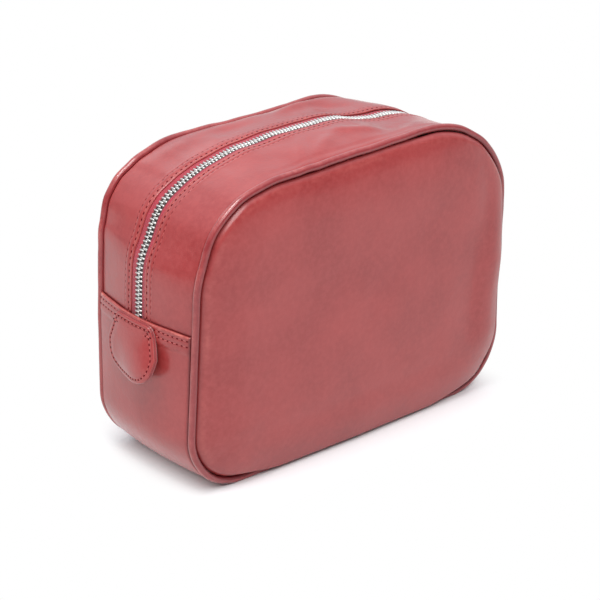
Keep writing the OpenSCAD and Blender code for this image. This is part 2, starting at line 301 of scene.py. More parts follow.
def smoothLeather(name, tones, gloss):  # gloss: least and most roughness, and that of its wax
    # Waxed full-grain leather, aniline dyed and polished: even colour with cloudy depth, soft sheen and
    # fine pores. One attribute marks edges paler from rubbing, and with it a painted highlight along crests
    # and folds; the attribute shade marks painted shade deep in seams, grooves and under folds.
    finish, add = newFinish(name)
    place = add("TexCoord").outputs["Object"]
    cloud = add("TexNoise", {"Scale": perMm(42), "Detail": 3, "Roughness": 0.55}, {"Vector": place})
    mottle = add("TexNoise", {"Scale": perMm(3.2), "Detail": 4, "Roughness": 0.6}, {"Vector": place})
    depth = add("MapRange", {"From Min": 0.34, "From Max": 0.66}, {"Value": cloud})
    body = add("Mix", twoTones(tones[:2]), {0: depth})
    fleck = add("MapRange", {"From Min": 0.4, "From Max": 0.75, "To Max": 0.45}, {"Value": mottle})
    pale, wornAndHighlit, seam = (srgb(tone) for tone in tones[2:])
    pulled = add("Mix", {**mixColour, 7: pale}, {0: fleck, 6: body.outputs[2]})
    rub = add("MapRange", {"From Min": 0.35, "From Max": 0.6, "To Min": 0.35}, {"Value": mottle})
    # paler from rubbing, which also paints a highlight along crests and folds
    wear = add("Attribute", {"attribute_name": "wear"})
    share = add("Math", {"operation": "MULTIPLY"}, {0: wear.outputs["Fac"], 1: rub})
    rubbedAndHighlit = add("Mix", {**mixColour, 7: wornAndHighlit}, {0: share, 6: pulled.outputs[2]})
    # painted shade: the seam tone darkens what the attribute shade marks
    shade = add("Attribute", {"attribute_name": "shade"})
    colour = add("Mix", {**mixColour, 7: seam}, {0: shade.outputs["Fac"], 6: rubbedAndHighlit.outputs[2]})
    polish = {"From Min": 0.3, "From Max": 0.7, "To Min": gloss[0], "To Max": gloss[1]}
    sheen = add("MapRange", polish, {"Value": mottle})
    pores = add("TexVoronoi", {"feature": "SMOOTH_F1", "Scale": perMm(0.9)}, {"Vector": place})
    grain = add("Bump", {"Strength": 0.32, "Distance": 0.00014}, {"Height": pores})
    crease = add("TexNoise", {"Scale": perMm(9), "Detail": 5, "Distortion": 0.6}, {"Vector": place})
    relief = add("Bump", {"Strength": 0.27, "Distance": 0.0008}, {"Height": crease, "Normal": grain})
    wax = {"IOR": 1.48, "Coat Weight": 0.58, "Coat Roughness": gloss[2], "Coat IOR": 1.5}
    closeFinish(add, add("BsdfPrincipled", wax, {
        "Base Color": colour.outputs[2], "Roughness": sheen, "Normal": relief}))
    return finish


def fleshSide(name, tones):
    # The back of the hide, left raw: matt, paler and fibrous.
    finish, add = newFinish(name)
    place = add("TexCoord").outputs["Object"]
    fibre = add("TexNoise", {"Scale": perMm(1.2), "Detail": 5, "Roughness": 0.7}, {"Vector": place})
    colour = add("Mix", twoTones(tones), {0: fibre})
    nap = add("Bump", {"Strength": 0.5, "Distance": 0.0003}, {"Height": fibre})
    closeFinish(add, add("BsdfPrincipled", {"IOR": 1.45, "Roughness": 0.85, "Sheen Weight": 0.25},
                         {"Base Color": colour.outputs[2], "Normal": nap}))
    return finish


def wovenCloth(name, tones, spacing, slant):
    # Plain-woven threads led along the piece's own length and width. The spacing is coarser than the real
    # 0.3 mm, so that the threads show. A dark tone paints the shade on what the attribute shade marks.
    finish, add = newFinish(name)
    place = add("TexCoord").outputs["UV"]
    turned = add("Mapping", {"Rotation": (0, 0, slant)}, {"Vector": place})
    bandPeriod = 0.314  # of the Wave texture at a scale of 1
    bands = {"Scale": bandPeriod * perMm(spacing), "Distortion": 0.8, "Detail": 1}
    warp = add("TexWave", {**bands, "bands_direction": "X"}, {"Vector": turned})
    weft = add("TexWave", {**bands, "bands_direction": "Y"}, {"Vector": turned})
    over = add("Math", {"operation": "MULTIPLY"}, {0: warp.outputs["Fac"], 1: weft.outputs["Fac"]})
    patches = add("TexNoise", {"Scale": perMm(6), "Detail": 3}, {"Vector": place})
    faded = add("MapRange", {"From Min": 0.3, "From Max": 0.7, "To Max": 0.35}, {"Value": patches})
    blend = add("Math", {"operation": "ADD", "use_clamp": True}, {0: over, 1: faded})
    cloth = add("Mix", twoTones(tones), {0: blend})
    # painted shade: the dark tone darkens what the attribute shade marks, such as the tape between the teeth
    paintedShadeMark = add("Attribute", {"attribute_name": "shade"})
    colour = add("Mix", {**mixColour, 7: srgb("#2a0a0e")}, {0: paintedShadeMark.outputs["Fac"], 6: cloth.outputs[2]})
    threads = add("Bump", {"Strength": 0.6, "Distance": 0.0002}, {"Height": over})
    closeFinish(add, add("BsdfPrincipled", {"Roughness": 0.8, "Sheen Weight": 0.3, "Sheen Roughness": 0.5},
                         {"Base Color": colour.outputs[2], "Normal": threads}))
    return finish


def platedMetal(name):
    # Brass, stamped or die cast and nickel plated: bright, with a slightly uneven polish.
    finish, add = newFinish(name)
    place = add("TexCoord").outputs["Object"]
    polish = add("TexNoise", {"Scale": perMm(1.5), "Detail": 3}, {"Vector": place})
    rough = add("MapRange", {"To Min": 0.3, "To Max": 0.46}, {"Value": polish})
    tint = add("Mix", twoTones(("#dddbd7", "#f0efec")), {0: polish})
    dull = add("Bump", {"Strength": 0.15, "Distance": 0.00005}, {"Height": polish})
    closeFinish(add, add("BsdfPrincipled", {"Metallic": 1}, {
        "Base Color": tint.outputs[2], "Roughness": rough, "Normal": dull}))
    return finish


def sewingThread(name, tones, index):
    # Bonded polyester thread, twisted from three strands: a little gloss and a slanting ply.
    finish, add = newFinish(name)
    place = add("TexCoord").outputs["Object"]
    ply = add("TexNoise", {"Scale": perMm(0.6), "Detail": 2}, {"Vector": place})
    colour = add("Mix", twoTones(tones), {0: ply})
    shader = add("BsdfPrincipled", {"Roughness": 0.5, "IOR": index}, {"Base Color": colour.outputs[2]})
    closeFinish(add, shader)
    return finish


def greyBoard(name):
    # Compressed fibre board: matt, speckled with lighter and darker fibres.
    finish, add = newFinish(name)
    place = add("TexCoord").outputs["Object"]
    speck = add("TexNoise", {"Scale": perMm(1), "Detail": 6, "Roughness": 0.8}, {"Vector": place})
    colour = add("Mix", twoTones(("#6f675c", "#a39a8c")), {0: speck})
    closeFinish(add, add("BsdfPrincipled", {"Roughness": 0.9}, {"Base Color": colour.outputs[2]}))
    return finish


# Tones: deep, bright, pale where pulled, paler from rubbing and painted highlight, painted seam shade
leather = smoothLeather("waxedLeather", ("#932b2b", "#a13534", "#af4845", "#cc7468", "#66141a"),
                        (0.34, 0.49, 0.18))
pipingLeather = smoothLeather("pipingLeather", ("#86262a", "#933033", "#a04042", "#c2645d", "#5a1218"),
                              (0.28, 0.4, 0.12))  # stretched over its cord, so glossier
rawLeather = fleshSide("leatherFleshSide", ("#7c3a34", "#a0584c"))
cutEdge = fleshSide("leatherCutEdge", ("#8a3a38", "#b05a56"))
liningCotton = wovenCloth("liningCotton", ("#a8957a", "#d2c2a6"), 0.9, 0)
tapeWeave = wovenCloth("wovenZipTape", ("#8a1528", "#c02a40"), 0.8, math.pi / 4)
nickel = platedMetal("nickelPlatedBrass")
thread = sewingThread("redSewingThread", ("#a8413f", "#cc706b"), 1.45)
paintedHoleShade = sewingThread("needleHoleShade", ("#5a0f16", "#6c161e"), 1.1)  # painted shade of a needle hole, which hardly shines
cordCotton = wovenCloth("twistedCottonCord", ("#b5ab98", "#ddd5c4"), 1.2, 0.9)
print("materials made")


# Meshes
def faceOut(sheet):  # turns an open sheet's faces away from the inside of the bag
    middle = Vector((0, 0, bag["height"] / 2))
    sheet.normal_update()
    lean = sum(face.normal.dot(face.calc_center_median() - middle) * face.calc_area() for face in sheet.faces)
    if lean < 0:
        bmesh.ops.reverse_faces(sheet, faces=sheet.faces)


# A grid led over a surface by place(u, v), its UV map in metres. The marks are attributes for its material.
def gridSheet(cells, size, place, **marks):
    sheet = bmesh.new()
    layer = sheet.loops.layers.uv.new("UVMap")
    fields = [(sheet.verts.layers.float.new(name), amount) for name, amount in marks.items()]
    bmesh.ops.create_grid(sheet, x_segments=cells[0], y_segments=cells[1], size=1, calc_uvs=True)
    for face in sheet.faces:
        for loop in face.loops:
            loop[layer].uv = (loop[layer].uv.x * size[0] / 1000, loop[layer].uv.y * size[1] / 1000)
    for vert in sheet.verts:
        u, v = (vert.co.x + 1) / 2, (vert.co.y + 1) / 2
        vert.co = place(u, v)
        for field, amount in fields:
            vert[field] = amount(u, v)
    faceOut(sheet)
    return sheet


# Patchy paleness from rubbing, also a painted highlight: its strength and least share, the sheet's size,
# and the patches' size and seed
def patchyWearAndHighlight(wear, u, v):
    strength, least, size, patch, seed = wear
    return strength * (least + waver((u * size[0], v * size[1], 0), patch, seed))


def closeTube(sheet):
    bmesh.ops.remove_doubles(sheet, verts=sheet.verts, dist=0.01)
    bmesh.ops.recalc_face_normals(sheet, faces=sheet.faces)


def finishPiece(name, shape, finishes, nodes, thickness=0, flap=None):
    bmesh.ops.transform(shape, matrix=Matrix.Scale(0.001, 4), verts=shape.verts)
    data = bpy.data.meshes.new(name)
    shape.to_mesh(data)
    shape.free()
    data.shade_smooth()
    for finish in finishes:
        data.materials.append(finish)
    piece = bpy.data.objects.new(name, data)
    bpy.context.scene.collection.objects.link(piece)
    if thickness:
        wall = piece.modifiers.new("wall", "SOLIDIFY")
        wall.thickness, wall.offset = thickness / 1000, -1
        wall.material_offset, wall.material_offset_rim = min(1, len(finishes) - 1), min(2, len(finishes) - 1)
    if flap:
        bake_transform(piece)
    else:
        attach(piece, "bag")
    if nodes:
        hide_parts(*nodes)


def halves(piece):  # the two CAD nodes of a sheet or cord that crosses the fold
    return [piece + "_lower", piece + "_upper"]


sides = {-1: "front", 1: "back"}


# Front and back panels, each one sheet that rolls out of its seam and swells
panel = {
    "thickness": 1.1,
    "seam": 4.1,  # depth below the outline at which the sheet comes out of its seam
    "seamLevel": -0.3,  # beyond the middle of the piping
    "roll": 2.6, "rollWidth": 4, "rollEase": 3,  # the rolled edge, with its height towards the middle
    "rollFade": 8,  # from the seam, where its height begins to pass to that
    "dome": 6, "domeZone": 38, "domeEase": 2.5, "belly": 1.5,
    "overhang": 4.5, "overhangWidth": 3,  # how far the belly sinks past its seam along the base
    "overhangRuns": (290, 325),
    "swayFade": 60,  # from the seam, where the piping's sway has died out
    "waves": ((0.5, 55, 7), (0.2, 21, 11)),
    "floorGap": 0.2,
    "cells": (112, 112),
    "coreDepth": 33, "coreShare": 0.42,  # the grid's rings follow the outline down to this depth
    "spacing": 1.6,  # how much closer the rings lie near the seam
    # painted shade in the seam and towards the base; paler from rubbing and a painted highlight on the crest
    "seamShade": 0.55, "seamReach": (0.1, 0.9), "baseShade": 0.24, "baseShare": 0.24,
    "wear": (0.16, 0.6, (240, 180), 22, 31), "crest": 3.6, "crestWidth": 1.8,
}
# Height of the rolled edge round the panels, by run: bottom, left, top, right and bottom again
panelRoll = [(-382, 5.5), (-300, 4), (-262, 1.6), (-200, 2), (-108, 2.6), (0, 2.1), (108, 2.2), (150, 4.4),
             (190, 7), (235, 6), (265, 3), (300, 4.5), (382, 5.5)]
# Soft dents: x, z, their spread along x and z, and how far they stand out
panelDents = {
    -1: [(100, 128, 7, 34, -1.3), (112, 96, 5, 30, 0.8), (86, 62, 10, 34, -0.8), (-58, 148, 30, 18, -0.7),
         (20, 118, 60, 30, -0.6), (-20, 60, 50, 30, 0.6)],
    1: [(70, 140, 30, 22, -4), (-70, 128, 26, 24, -1.4), (0, 96, 60, 30, 0.8), (96, 70, 9, 36, -1),
        (-96, 60, 10, 30, -0.9)],
}
topCorner = halfTop + topArc / 2
bottomCorner = halfTop + topArc + sideRun + bottomArc / 2
cornerRuns = [(0, -topCorner), (1, topCorner), (2, bottomCorner), (3, 2 * halfRim - bottomCorner),
              (4, 2 * halfRim - topCorner)]


# How far out from a square's middle a point lies, 0 to 1, and where round it, 0 to 4 from its top left corner
def ringPlace(u, v):
    a, b = 2 * u - 1, 2 * v - 1
    out = max(abs(a), abs(b))
    if out == 0:
        return 0, 0
    if b == out:
        return out, (1 + a / out) / 2
    if a == out:
        return out, 1 + (1 - b / out) / 2
    if b == -out:
        return out, 2 + (1 - a / out) / 2
    return out, 3 + (1 + b / out) / 2


def panelPoint(side, seam, level, roll, u, v):
    out, place = ringPlace(u, v)
    run = through(cornerRuns, place)
    ring = 1 - panel["coreShare"]
    if out > panel["coreShare"]:
        away = ((1 - out) / ring) ** panel["spacing"] * (panel["coreDepth"] - seam)
        x, z, nx, nz = rim(run, seam + away)
    else:
        x, z, nx, nz = rim(run, panel["coreDepth"])
        share = out / panel["coreShare"]
        x, z = x * share, mix(bag["height"] / 2, z, share)
    near = max(0, depthInside(x, z) - seam)
    signed = run if run <= halfRim else run - 2 * halfRim
    rolled = 1 - (1 - min(1, near / panel["rollWidth"])) ** panel["rollEase"]
    inner = smooth(panel["rollFade"], panel["coreDepth"] - seam, near)
    rollHeight = mix(through(panelRoll, signed), panel["roll"], inner)
    domed = 1 - (1 - min(1, near / panel["domeZone"])) ** panel["domeEase"]
    height = level + roll * rollHeight * rolled + panel["dome"] * domed
    fromMiddle = (x / (bag["width"] / 2)) ** 2, (z / bag["height"] * 2 - 1) ** 2
    height += panel["belly"] * max(0, 1 - fromMiddle[0]) * max(0, 1 - fromMiddle[1])
    for dx, dz, wide, tall, amount in panelDents[side]:
        height += amount * bell((x - dx) / wide) * bell((z - dz) / tall) * domed
    height += sum(uneven(wave, (x, side * 50, z)) for wave in panel["waves"]) * domed
    low, wide = smooth(*panel["overhangRuns"], abs(signed)), panel["overhangWidth"]
    over = roll * panel["overhang"] * low * near / wide * math.exp(1 - near / wide)
    over += swayAt(signed, side) * (1 - smooth(0, panel["swayFade"], near))
    px, pz = stand(x + nx * over, z + nz * over, side)
    return Vector((px, side * (reach(side, z) + height), max(pz, panel["floorGap"])))


def fromSeam(u, v):  # about how far a point of a panel lies from its seam
    share = max(0, (1 - ringPlace(u, v)[0]) / (1 - panel["coreShare"]))
    return share ** panel["spacing"] * (panel["coreDepth"] - panel["seam"])


def panelShade(u, v):  # painted shade: dark in the seam, and a little towards the base
    return max(panel["seamShade"] * (1 - smooth(*panel["seamReach"], fromSeam(u, v))),
               panel["baseShade"] * (1 - smooth(0, panel["baseShare"], v)))


def panelWearAndHighlight(u, v):  # paler from rubbing and a painted highlight along the crest of the rolled edge
    return bell((fromSeam(u, v) - panel["crest"]) / panel["crestWidth"]) * patchyWearAndHighlight(panel["wear"], u, v)


for side, word in sides.items():
    place = partial(panelPoint, side, panel["seam"], panel["seamLevel"], 1)
    sheet = gridSheet(panel["cells"], (bag["width"], bag["height"]), place, shade=panelShade, wear=panelWearAndHighlight)
    finishPiece(word + "_panel", sheet, [leather, rawLeather, cutEdge],
                halves(word + "_panel"), panel["thickness"], flap=word + "_flap")
print("panels made")


# Piping: a leather cover round a cotton cord, one round each panel
piping = {
    "depth": 1.7, "radius": 2.15, "cover": 0.9, "cordRadius": 1.1,
    "wave": (0.03, 5, 5),  # unevenness, its height as a share of the radius
    "cells": (320, 24), "cordCells": (320, 8),
    # painted shade at the seams; paler from rubbing and a painted highlight on the crest
    "shade": 0.6, "seamAngles": (95, 130), "wear": (0.5, 0.6, (764, 0), 18, 37), "crestAngles": (25, 65),
}


def pipingPoint(side, radius, u, v):
    run = (2 * u - 1) * halfRim
    x, z, nx, nz = rim(run, piping["depth"])
    centre = wallPoint(run, side * bag["pipeAcross"], piping["depth"])
    a = 2 * math.pi * v
    r = radius * (1 + uneven(piping["wave"], centre))
    point = centre + Vector((nx, 0, nz)) * (r * math.cos(a)) + Vector((0, side, 0)) * (r * math.sin(a))
    point.z = max(point.z, piping["radius"] - radius)
    return point


def fromCrest(v):  # angle from a piping's outermost line
    return 180 - abs(360 * v - 180)


def pipingShade(u, v):  # painted shade, dark where it turns into the seam
    return piping["shade"] * smooth(*piping["seamAngles"], fromCrest(v))


def pipingWearAndHighlight(u, v):  # paler from rubbing and a painted highlight along its crest
    return (1 - smooth(*piping["crestAngles"], fromCrest(v))) * patchyWearAndHighlight(piping["wear"], u, v)


for side, word in sides.items():
    size = (2 * halfRim, 2 * math.pi * piping["radius"])
    tube = gridSheet(piping["cells"], size, partial(pipingPoint, side, piping["radius"]),
                     shade=pipingShade, wear=pipingWearAndHighlight)
    closeTube(tube)
    finishPiece(word + "_piping", tube, [pipingLeather, rawLeather],
                halves(word + "_piping"), piping["cover"], flap=word + "_flap")
    cord = gridSheet(piping["cordCells"], size, partial(pipingPoint, side, piping["cordRadius"]))
    closeTube(cord)
    finishPiece(word + "_piping_cord", cord, [cordCotton],
                halves(word + "_piping_cord"), flap=word + "_flap")
print("pipings made")


# Gusset: base and both ends in one strip, with a folded and stitched hem at each top
gusset = {
    "edge": 41.1, "edgeRadius": 1.7, "turnedIn": 4,
    "hemRadius": 0.8, "hemReturn": 7, "hemWidth": 10, "proud": 0.45,
    "stitchRows": (2.7, 6.2), "groove": 0.25, "grooveWidth": 0.55,
    "thickness": 0.75,
    "cells": (230, 60),
    "sharesAcross": (0.62, 0.88), "sharesAlong": (0.6, 0.86),  # of the cells, up to each bend and to its end
    # painted shade at the seams; paler from rubbing and a painted highlight along the hem folds
    "shade": 0.95, "seamShares": (0.75, 0.86),
    "wear": (0.8, 0.7, (400, 80), 9, 41), "foldShare": 0.87, "foldSpread": 0.014,
}


def hemRelief(below):  # how far the leather stands proud at a distance below the hem's edge
    dips = sum(bell((below - row) / gusset["grooveWidth"]) for row in gusset["stitchRows"])
    doubled = 1 - smooth(gusset["hemWidth"] - 1, gusset["hemWidth"] + 2, below)
    return gusset["proud"] * doubled - gusset["groove"] * dips


def gussetPoint(u, v):
    q, side = 2 * u - 1, 1 if v > 0.5 else -1
    edge, radius, turnedIn = gusset["edge"], gusset["edgeRadius"], gusset["turnedIn"]
    half = edge - radius + radius * math.pi / 2 + turnedIn
    flat, bent = gusset["sharesAcross"]
    fromMiddle = through([(0, 0), (flat, edge - 4), (bent, half - turnedIn), (1, half)], abs(2 * v - 1))
    w, drop = bentEdge(fromMiddle, edge, radius, math.pi / 2)
    full = halfRim - hemEdge(w)
    fold = gusset["hemRadius"] * (math.pi - 1) + gusset["hemReturn"]
    flat, bent = gusset["sharesAlong"]
    along = through([(0, 0), (flat, full - 14), (bent, full - 1), (1, full + fold)], abs(q))
    out, under = bentEdge(along, full, gusset["hemRadius"], math.pi)
    relief = hemRelief(full - out) if under < gusset["hemRadius"] else 0
    run = math.copysign(halfRim - out, q)
    return wallPoint(run, side * w, drop + under - relief)


def gussetShade(u, v):  # painted shade, dark where it turns into the pipings' seams
    return gusset["shade"] * smooth(*gusset["seamShares"], abs(2 * v - 1))


def gussetWearAndHighlight(u, v):  # paler from rubbing and a painted highlight along the folds of the hems
    past = abs(2 * u - 1) - gusset["foldShare"]
    return bell(past / gusset["foldSpread"]) * patchyWearAndHighlight(gusset["wear"], u, v)


strip = gridSheet(gusset["cells"], (2 * (halfRim - hemRun), 2 * gusset["edge"]), gussetPoint,
                  shade=gussetShade, wear=gussetWearAndHighlight)
finishPiece("base_gusset_leather", strip, [leather, rawLeather, cutEdge], ["base_gusset"],
            gusset["thickness"])
print("gusset made")


# Zip strips: from hem to hem over the top, with a folded and stitched edge beside the zip
zipStrip = {
    "slotHalf": {-1: 5.8, 1: 7}, "seam": 41.1, "middle": 22, "depth": 1.7, "tuck": 7,
    "foldRadius": 0.65, "foldReturn": 4, "edgeRadius": 1.6, "turnedIn": 3.5,
    "stitchRows": (2.4, 6), "groove": 0.28, "thickness": 0.6,
    "ridge": (0.3, 5.2, 1.8),  # where the fold ends below: height, distance from the slot, width
    "pressed": (4.6, 0.5, 0.9),  # crease over the turned edge: distance from the seam, depth, width
    "pressedFrom": (-75, -30), "pressedTo": (60, 110),
    "width": 36, "cells": (380, 64), "split": 0.62,  # share of the cells on the slot's side
    "slotShares": (0.2, 0.8), "seamShares": (0.55, 0.9),  # of each side's, up to its bend and past it
    # painted shade in the seam, under the fold and at the hems; paler from rubbing and a painted highlight
    "shade": 0.9, "shadeAtSeam": (0.87, 0.93), "shadeAtSlot": (0.07, 0.105), "shadeAtHem": (-1.2, -0.2),
    "wear": (0.35, 0.7, (400, 80), 12, 43), "foldAt": 0.14, "foldSpread": 0.02,
}


def stripRelief(fromSlot):
    dips = sum(bell((fromSlot - row) / gusset["grooveWidth"]) for row in zipStrip["stitchRows"])
    high, middle, wide = zipStrip["ridge"]
    return high * bell((fromSlot - middle) / wide) - zipStrip["groove"] * dips


def stripPoint(side, u, v):
    run = (2 * u - 1) * (hemRun + zipStrip["tuck"])
    toSlot, toSeam = zipStrip["middle"] - zipStrip["slotHalf"][side], zipStrip["seam"] - zipStrip["middle"]
    split = zipStrip["split"]
    if v < split:
        whole = toSlot + zipStrip["foldRadius"] * (math.pi - 1) + zipStrip["foldReturn"]
        flat, bent = zipStrip["slotShares"]
        along = through([(0, 0), (flat, toSlot - 10), (bent, toSlot - 0.6), (1, whole)], (split - v) / split)
        out, under = bentEdge(along, toSlot, zipStrip["foldRadius"], math.pi)
        relief = stripRelief(toSlot - out) if under < zipStrip["foldRadius"] else 0
        return wallPoint(run, side * (zipStrip["middle"] - out), zipStrip["depth"] + under - relief)
    pressed, deep, wide = zipStrip["pressed"]
    whole = toSeam + zipStrip["edgeRadius"] * (math.pi / 2 - 1) + zipStrip["turnedIn"]
    flat, bent = zipStrip["seamShares"]
    along = through([(0, 0), (flat, toSeam - 2.5), (bent, whole - 3), (1, whole)], (v - split) / (1 - split))
    out, drop = bentEdge(along, toSeam, zipStrip["edgeRadius"], math.pi / 2)
    onTop = smooth(*zipStrip["pressedFrom"], run) * (1 - smooth(*zipStrip["pressedTo"], run))
    drop += deep * bell((toSeam - out - pressed) / wide) * onTop
    return wallPoint(run, side * (zipStrip["middle"] + out), zipStrip["depth"] + drop)


def stripShade(u, v):  # painted shade: dark in the seam, under the fold beside the zip and against the hems
    pastHem = abs(2 * u - 1) * (hemRun + zipStrip["tuck"]) - hemRun + bag["hemRaise"]
    hem = smooth(*zipStrip["shadeAtHem"], pastHem)
    seam = smooth(*zipStrip["shadeAtSeam"], v)
    return zipStrip["shade"] * max(seam, 1 - smooth(*zipStrip["shadeAtSlot"], v), hem)


def stripWearAndHighlight(u, v):  # paler from rubbing and a painted highlight along the fold beside the zip
    return bell((v - zipStrip["foldAt"]) / zipStrip["foldSpread"]) * patchyWearAndHighlight(zipStrip["wear"], u, v)


for side, word in sides.items():
    strip = gridSheet(zipStrip["cells"], (2 * hemRun, zipStrip["width"]), partial(stripPoint, side),
                      shade=stripShade, wear=stripWearAndHighlight)
    finishPiece(word + "_zip_strip_leather", strip, [leather, rawLeather, cutEdge],
                [word + "_zip_strip"], zipStrip["thickness"], flap=word + "_flap")
print("zip strips made")


# Zip tapes and teeth
tape = {
    "inner": 1.3, "outer": 14, "depth": 3.2, "thickness": 0.5,
    "closed": 0.15, "closeOver": 1.5,  # past its stop the tape's edge comes to the middle
    "shaded": (2.5, 3.5),  # painted shade between the teeth, out from the middle
    "cells": (240, 24),
}
tooth = {"pitch": 2.54, "length": 1.02, "height": 2.3, "reach": 0.6, "back": 3, "edge": 0.32, "depth": 3.45,
         "firstRun": -(hemRun + 5), "lastRun": halfTop + topArc}
stop = {"length": 4, "run": 8.4, "gap": 0.4}  # its run and gap are past the last tooth and from the middle
zipRise = 0.5  # how much higher the zip lies where the slider's path doesn't hold it


def tapePoint(side, u, v):
    run = (2 * u - 1) * (hemRun + zipStrip["tuck"])
    past, over = tooth["lastRun"] + stop["run"] + stop["length"] / 2, tape["closeOver"]
    inner = mix(tape["inner"], tape["closed"], smooth(past - over, past + over, run))
    rise = zipRise * (1 - bendHold((2 * u - 1) * hemRun))
    return wallPoint(run, side * mix(inner, tape["outer"], v), tape["depth"] - rise)


# painted shade on the tape between the teeth, dark near the middle
def tapeShade(u, v):
    return 1 - smooth(*tape["shaded"], mix(tape["inner"], tape["outer"], v))


for side, word in sides.items():
    band = gridSheet(tape["cells"], (2 * hemRun, tape["outer"] - tape["inner"]), partial(tapePoint, side),
                     shade=tapeShade)
    finishPiece(word + "_zip_tape_weave", band, [tapeWeave], [word + "_zip_tape"],
                tape["thickness"], flap=word + "_flap")


def chainFrame(run):  # place and turn of a tooth: X along the zip, Y to the back, Z outwards
    depth = tooth["depth"] - zipRise * (1 - bendHold(run))
    origin = wallPoint(run, 0, depth)
    alongZip = (wallPoint(run + 0.5, 0, depth) - wallPoint(run - 0.5, 0, depth)).normalized()
    outward = (wallPoint(run, 0, depth - 1) - origin).normalized()
    outward = (outward - alongZip * outward.dot(alongZip)).normalized()
    turn = Matrix((alongZip, outward.cross(alongZip), outward)).transposed().to_4x4()
    return Matrix.Translation(origin) @ turn


def addClip(shape, place, length, inner, outer):
    size = Matrix.Diagonal((length, outer - inner, tooth["height"], 1))
    centre = Matrix.Translation((0, (inner + outer) / 2, 0))
    made = bmesh.ops.create_cube(shape, size=1, matrix=place @ centre @ size)
    edges = {edge for vert in made["verts"] for edge in vert.link_edges}
    bmesh.ops.bevel(shape, geom=list(edges), offset=tooth["edge"], segments=1, profile=0.5,
                    affect="EDGES", material=-1)


for side, word in sides.items():
    row = bmesh.new()
    count = int((tooth["lastRun"] - tooth["firstRun"]) / tooth["pitch"])
    for i in range(count):
        run = tooth["lastRun"] - (i + (0.5 if side > 0 else 0)) * tooth["pitch"]
        inner, outer = sorted((-side * tooth["reach"], side * tooth["back"]))
        addClip(row, chainFrame(run), tooth["length"], inner, outer)
    inner, outer = sorted((side * stop["gap"], side * tooth["back"]))
    addClip(row, chainFrame(tooth["lastRun"] + stop["run"]), stop["length"], inner, outer)
    finishPiece(word + "_zip_teeth", row, [nickel], [word + "_teeth"], flap=word + "_flap")
print("zip made")


# Tab: two layers of leather, sewn on with the left hem; its outline is about its own middle
tab = {
    "middle": 0.4, "layer": 1.15, "outer": 2.6, "inner": 1.4, "innerGrow": 0.4, "cells": (70, 70),
    "topHalf": 16, "half": 24, "shoulder": 18, "tip": 18, "square": 2.8, "corner": 14,
    "lean": 0.03, "leanOver": (2, 20), "hemOver": (0, 15),  # ranges are distances below its upper edge
    "gap": 0.6, "leastLift": 0.8, "lift": 6.5, "liftOver": (4, 34),
    "liftAcross": (-20, 16),  # the front edge stands off, the back one lies close
    "stitchIn": 2.8, "stitchPitch": 3.2, "seamFrom": 0.28, "seamTurn": 1.56,  # the last two in half turns
    "pad": 0.35, "padOver": 5, "round": 0.5, "roundOver": 0.9, "groove": 0.3, "grooveWidth": 0.6,
}


def tabReach(angle):  # distance of the tab's edge from its middle; a quarter turn points up
    c, s = math.cos(angle), math.sin(angle)
    if s <= 0:
        power = tab["square"]
        return (abs(c / tab["half"]) ** power + abs(s / tab["tip"]) ** power) ** (-1 / power)
    power = tab["corner"]
    flare = (tab["half"] - tab["topHalf"]) / tab["shoulder"]
    top, slanted = tab["shoulder"] / max(s, 0.001), tab["half"] / (abs(c) + flare * s)
    return (top ** -power + slanted ** -power) ** (-1 / power)


def tabSurface(a, b, out):  # a: from the tab's middle to the back; b: below its upper edge
    across = tab["middle"] + a
    down = b + tab["lean"] * a * smooth(*tab["leanOver"], b)
    hem = mix(hemEdge(across), hemEdge(tab["middle"]), smooth(*tab["hemOver"], b))
    lift = tab["leastLift"] + tab["lift"] * (1 - smooth(*tab["liftAcross"], a))
    lift *= smooth(*tab["liftOver"], b)
    return wallPoint(-(hem + tab["gap"] + down), across, -(out + gusset["proud"] + lift))


def tabPoint(out, grow, u, v):
    a, b = 2 * u - 1, 2 * v - 1
    share = max(abs(a), abs(b))
    angle = math.atan2(b, a)
    r = (tabReach(angle) + grow) * share
    fromEdge = tabReach(angle) + grow - r
    relief = tab["pad"] * smooth(tab["stitchIn"], tab["stitchIn"] + tab["padOver"], fromEdge)
    relief -= tab["round"] * (1 - smooth(0, tab["roundOver"], fromEdge))
    relief -= tab["groove"] * bell((fromEdge - tab["stitchIn"]) / tab["grooveWidth"])
    return tabSurface(r * math.cos(angle), tab["shoulder"] - r * math.sin(angle), out + relief)


# Each layer's name, how far out it lies, how much larger it is, its CAD nodes, finish and slot
for name, out, grow, nodes, finish, slotName in (
    ("tab_outer", tab["outer"], 0, ["tab_root", "tab_tongue"], leather, "leather"),
    ("tab_back", tab["inner"], tab["innerGrow"], ["tab_backing"], pipingLeather, "piping_leather"),
):
    layer = gridSheet(tab["cells"], (46, 40), partial(tabPoint, out, grow))
    finishPiece(name, layer, [finish, rawLeather, cutEdge], nodes, tab["layer"], flap="tab")
print("tab made")


# Stitches
stitch = {
    "pitch": 3.8, "thread": 0.28, "gap": 0.1,
    "hole": 0.52, "taper": 0.8, "slit": 1.8, "holeDepth": 0.3, "holeRise": 0.06,  # the needle cuts a slit
}
core = {"half": 50, "across": 0.75, "low": 45, "high": 120}  # what the walls face away from


def evenly(points, pitch):  # places at even distances along a line of points
    total = sum((q - p).length for p, q in zip(points, points[1:]))
    count = max(1, round(total / pitch))
    step, walked, target, found = total / count, 0, 0, []
    for p, q in zip(points, points[1:]):
        length = (q - p).length
        while target <= walked + length + 0.001 and len(found) <= count:
            found.append(p.lerp(q, min(1, (target - walked) / length)))
            target += step
        walked += length
    return found


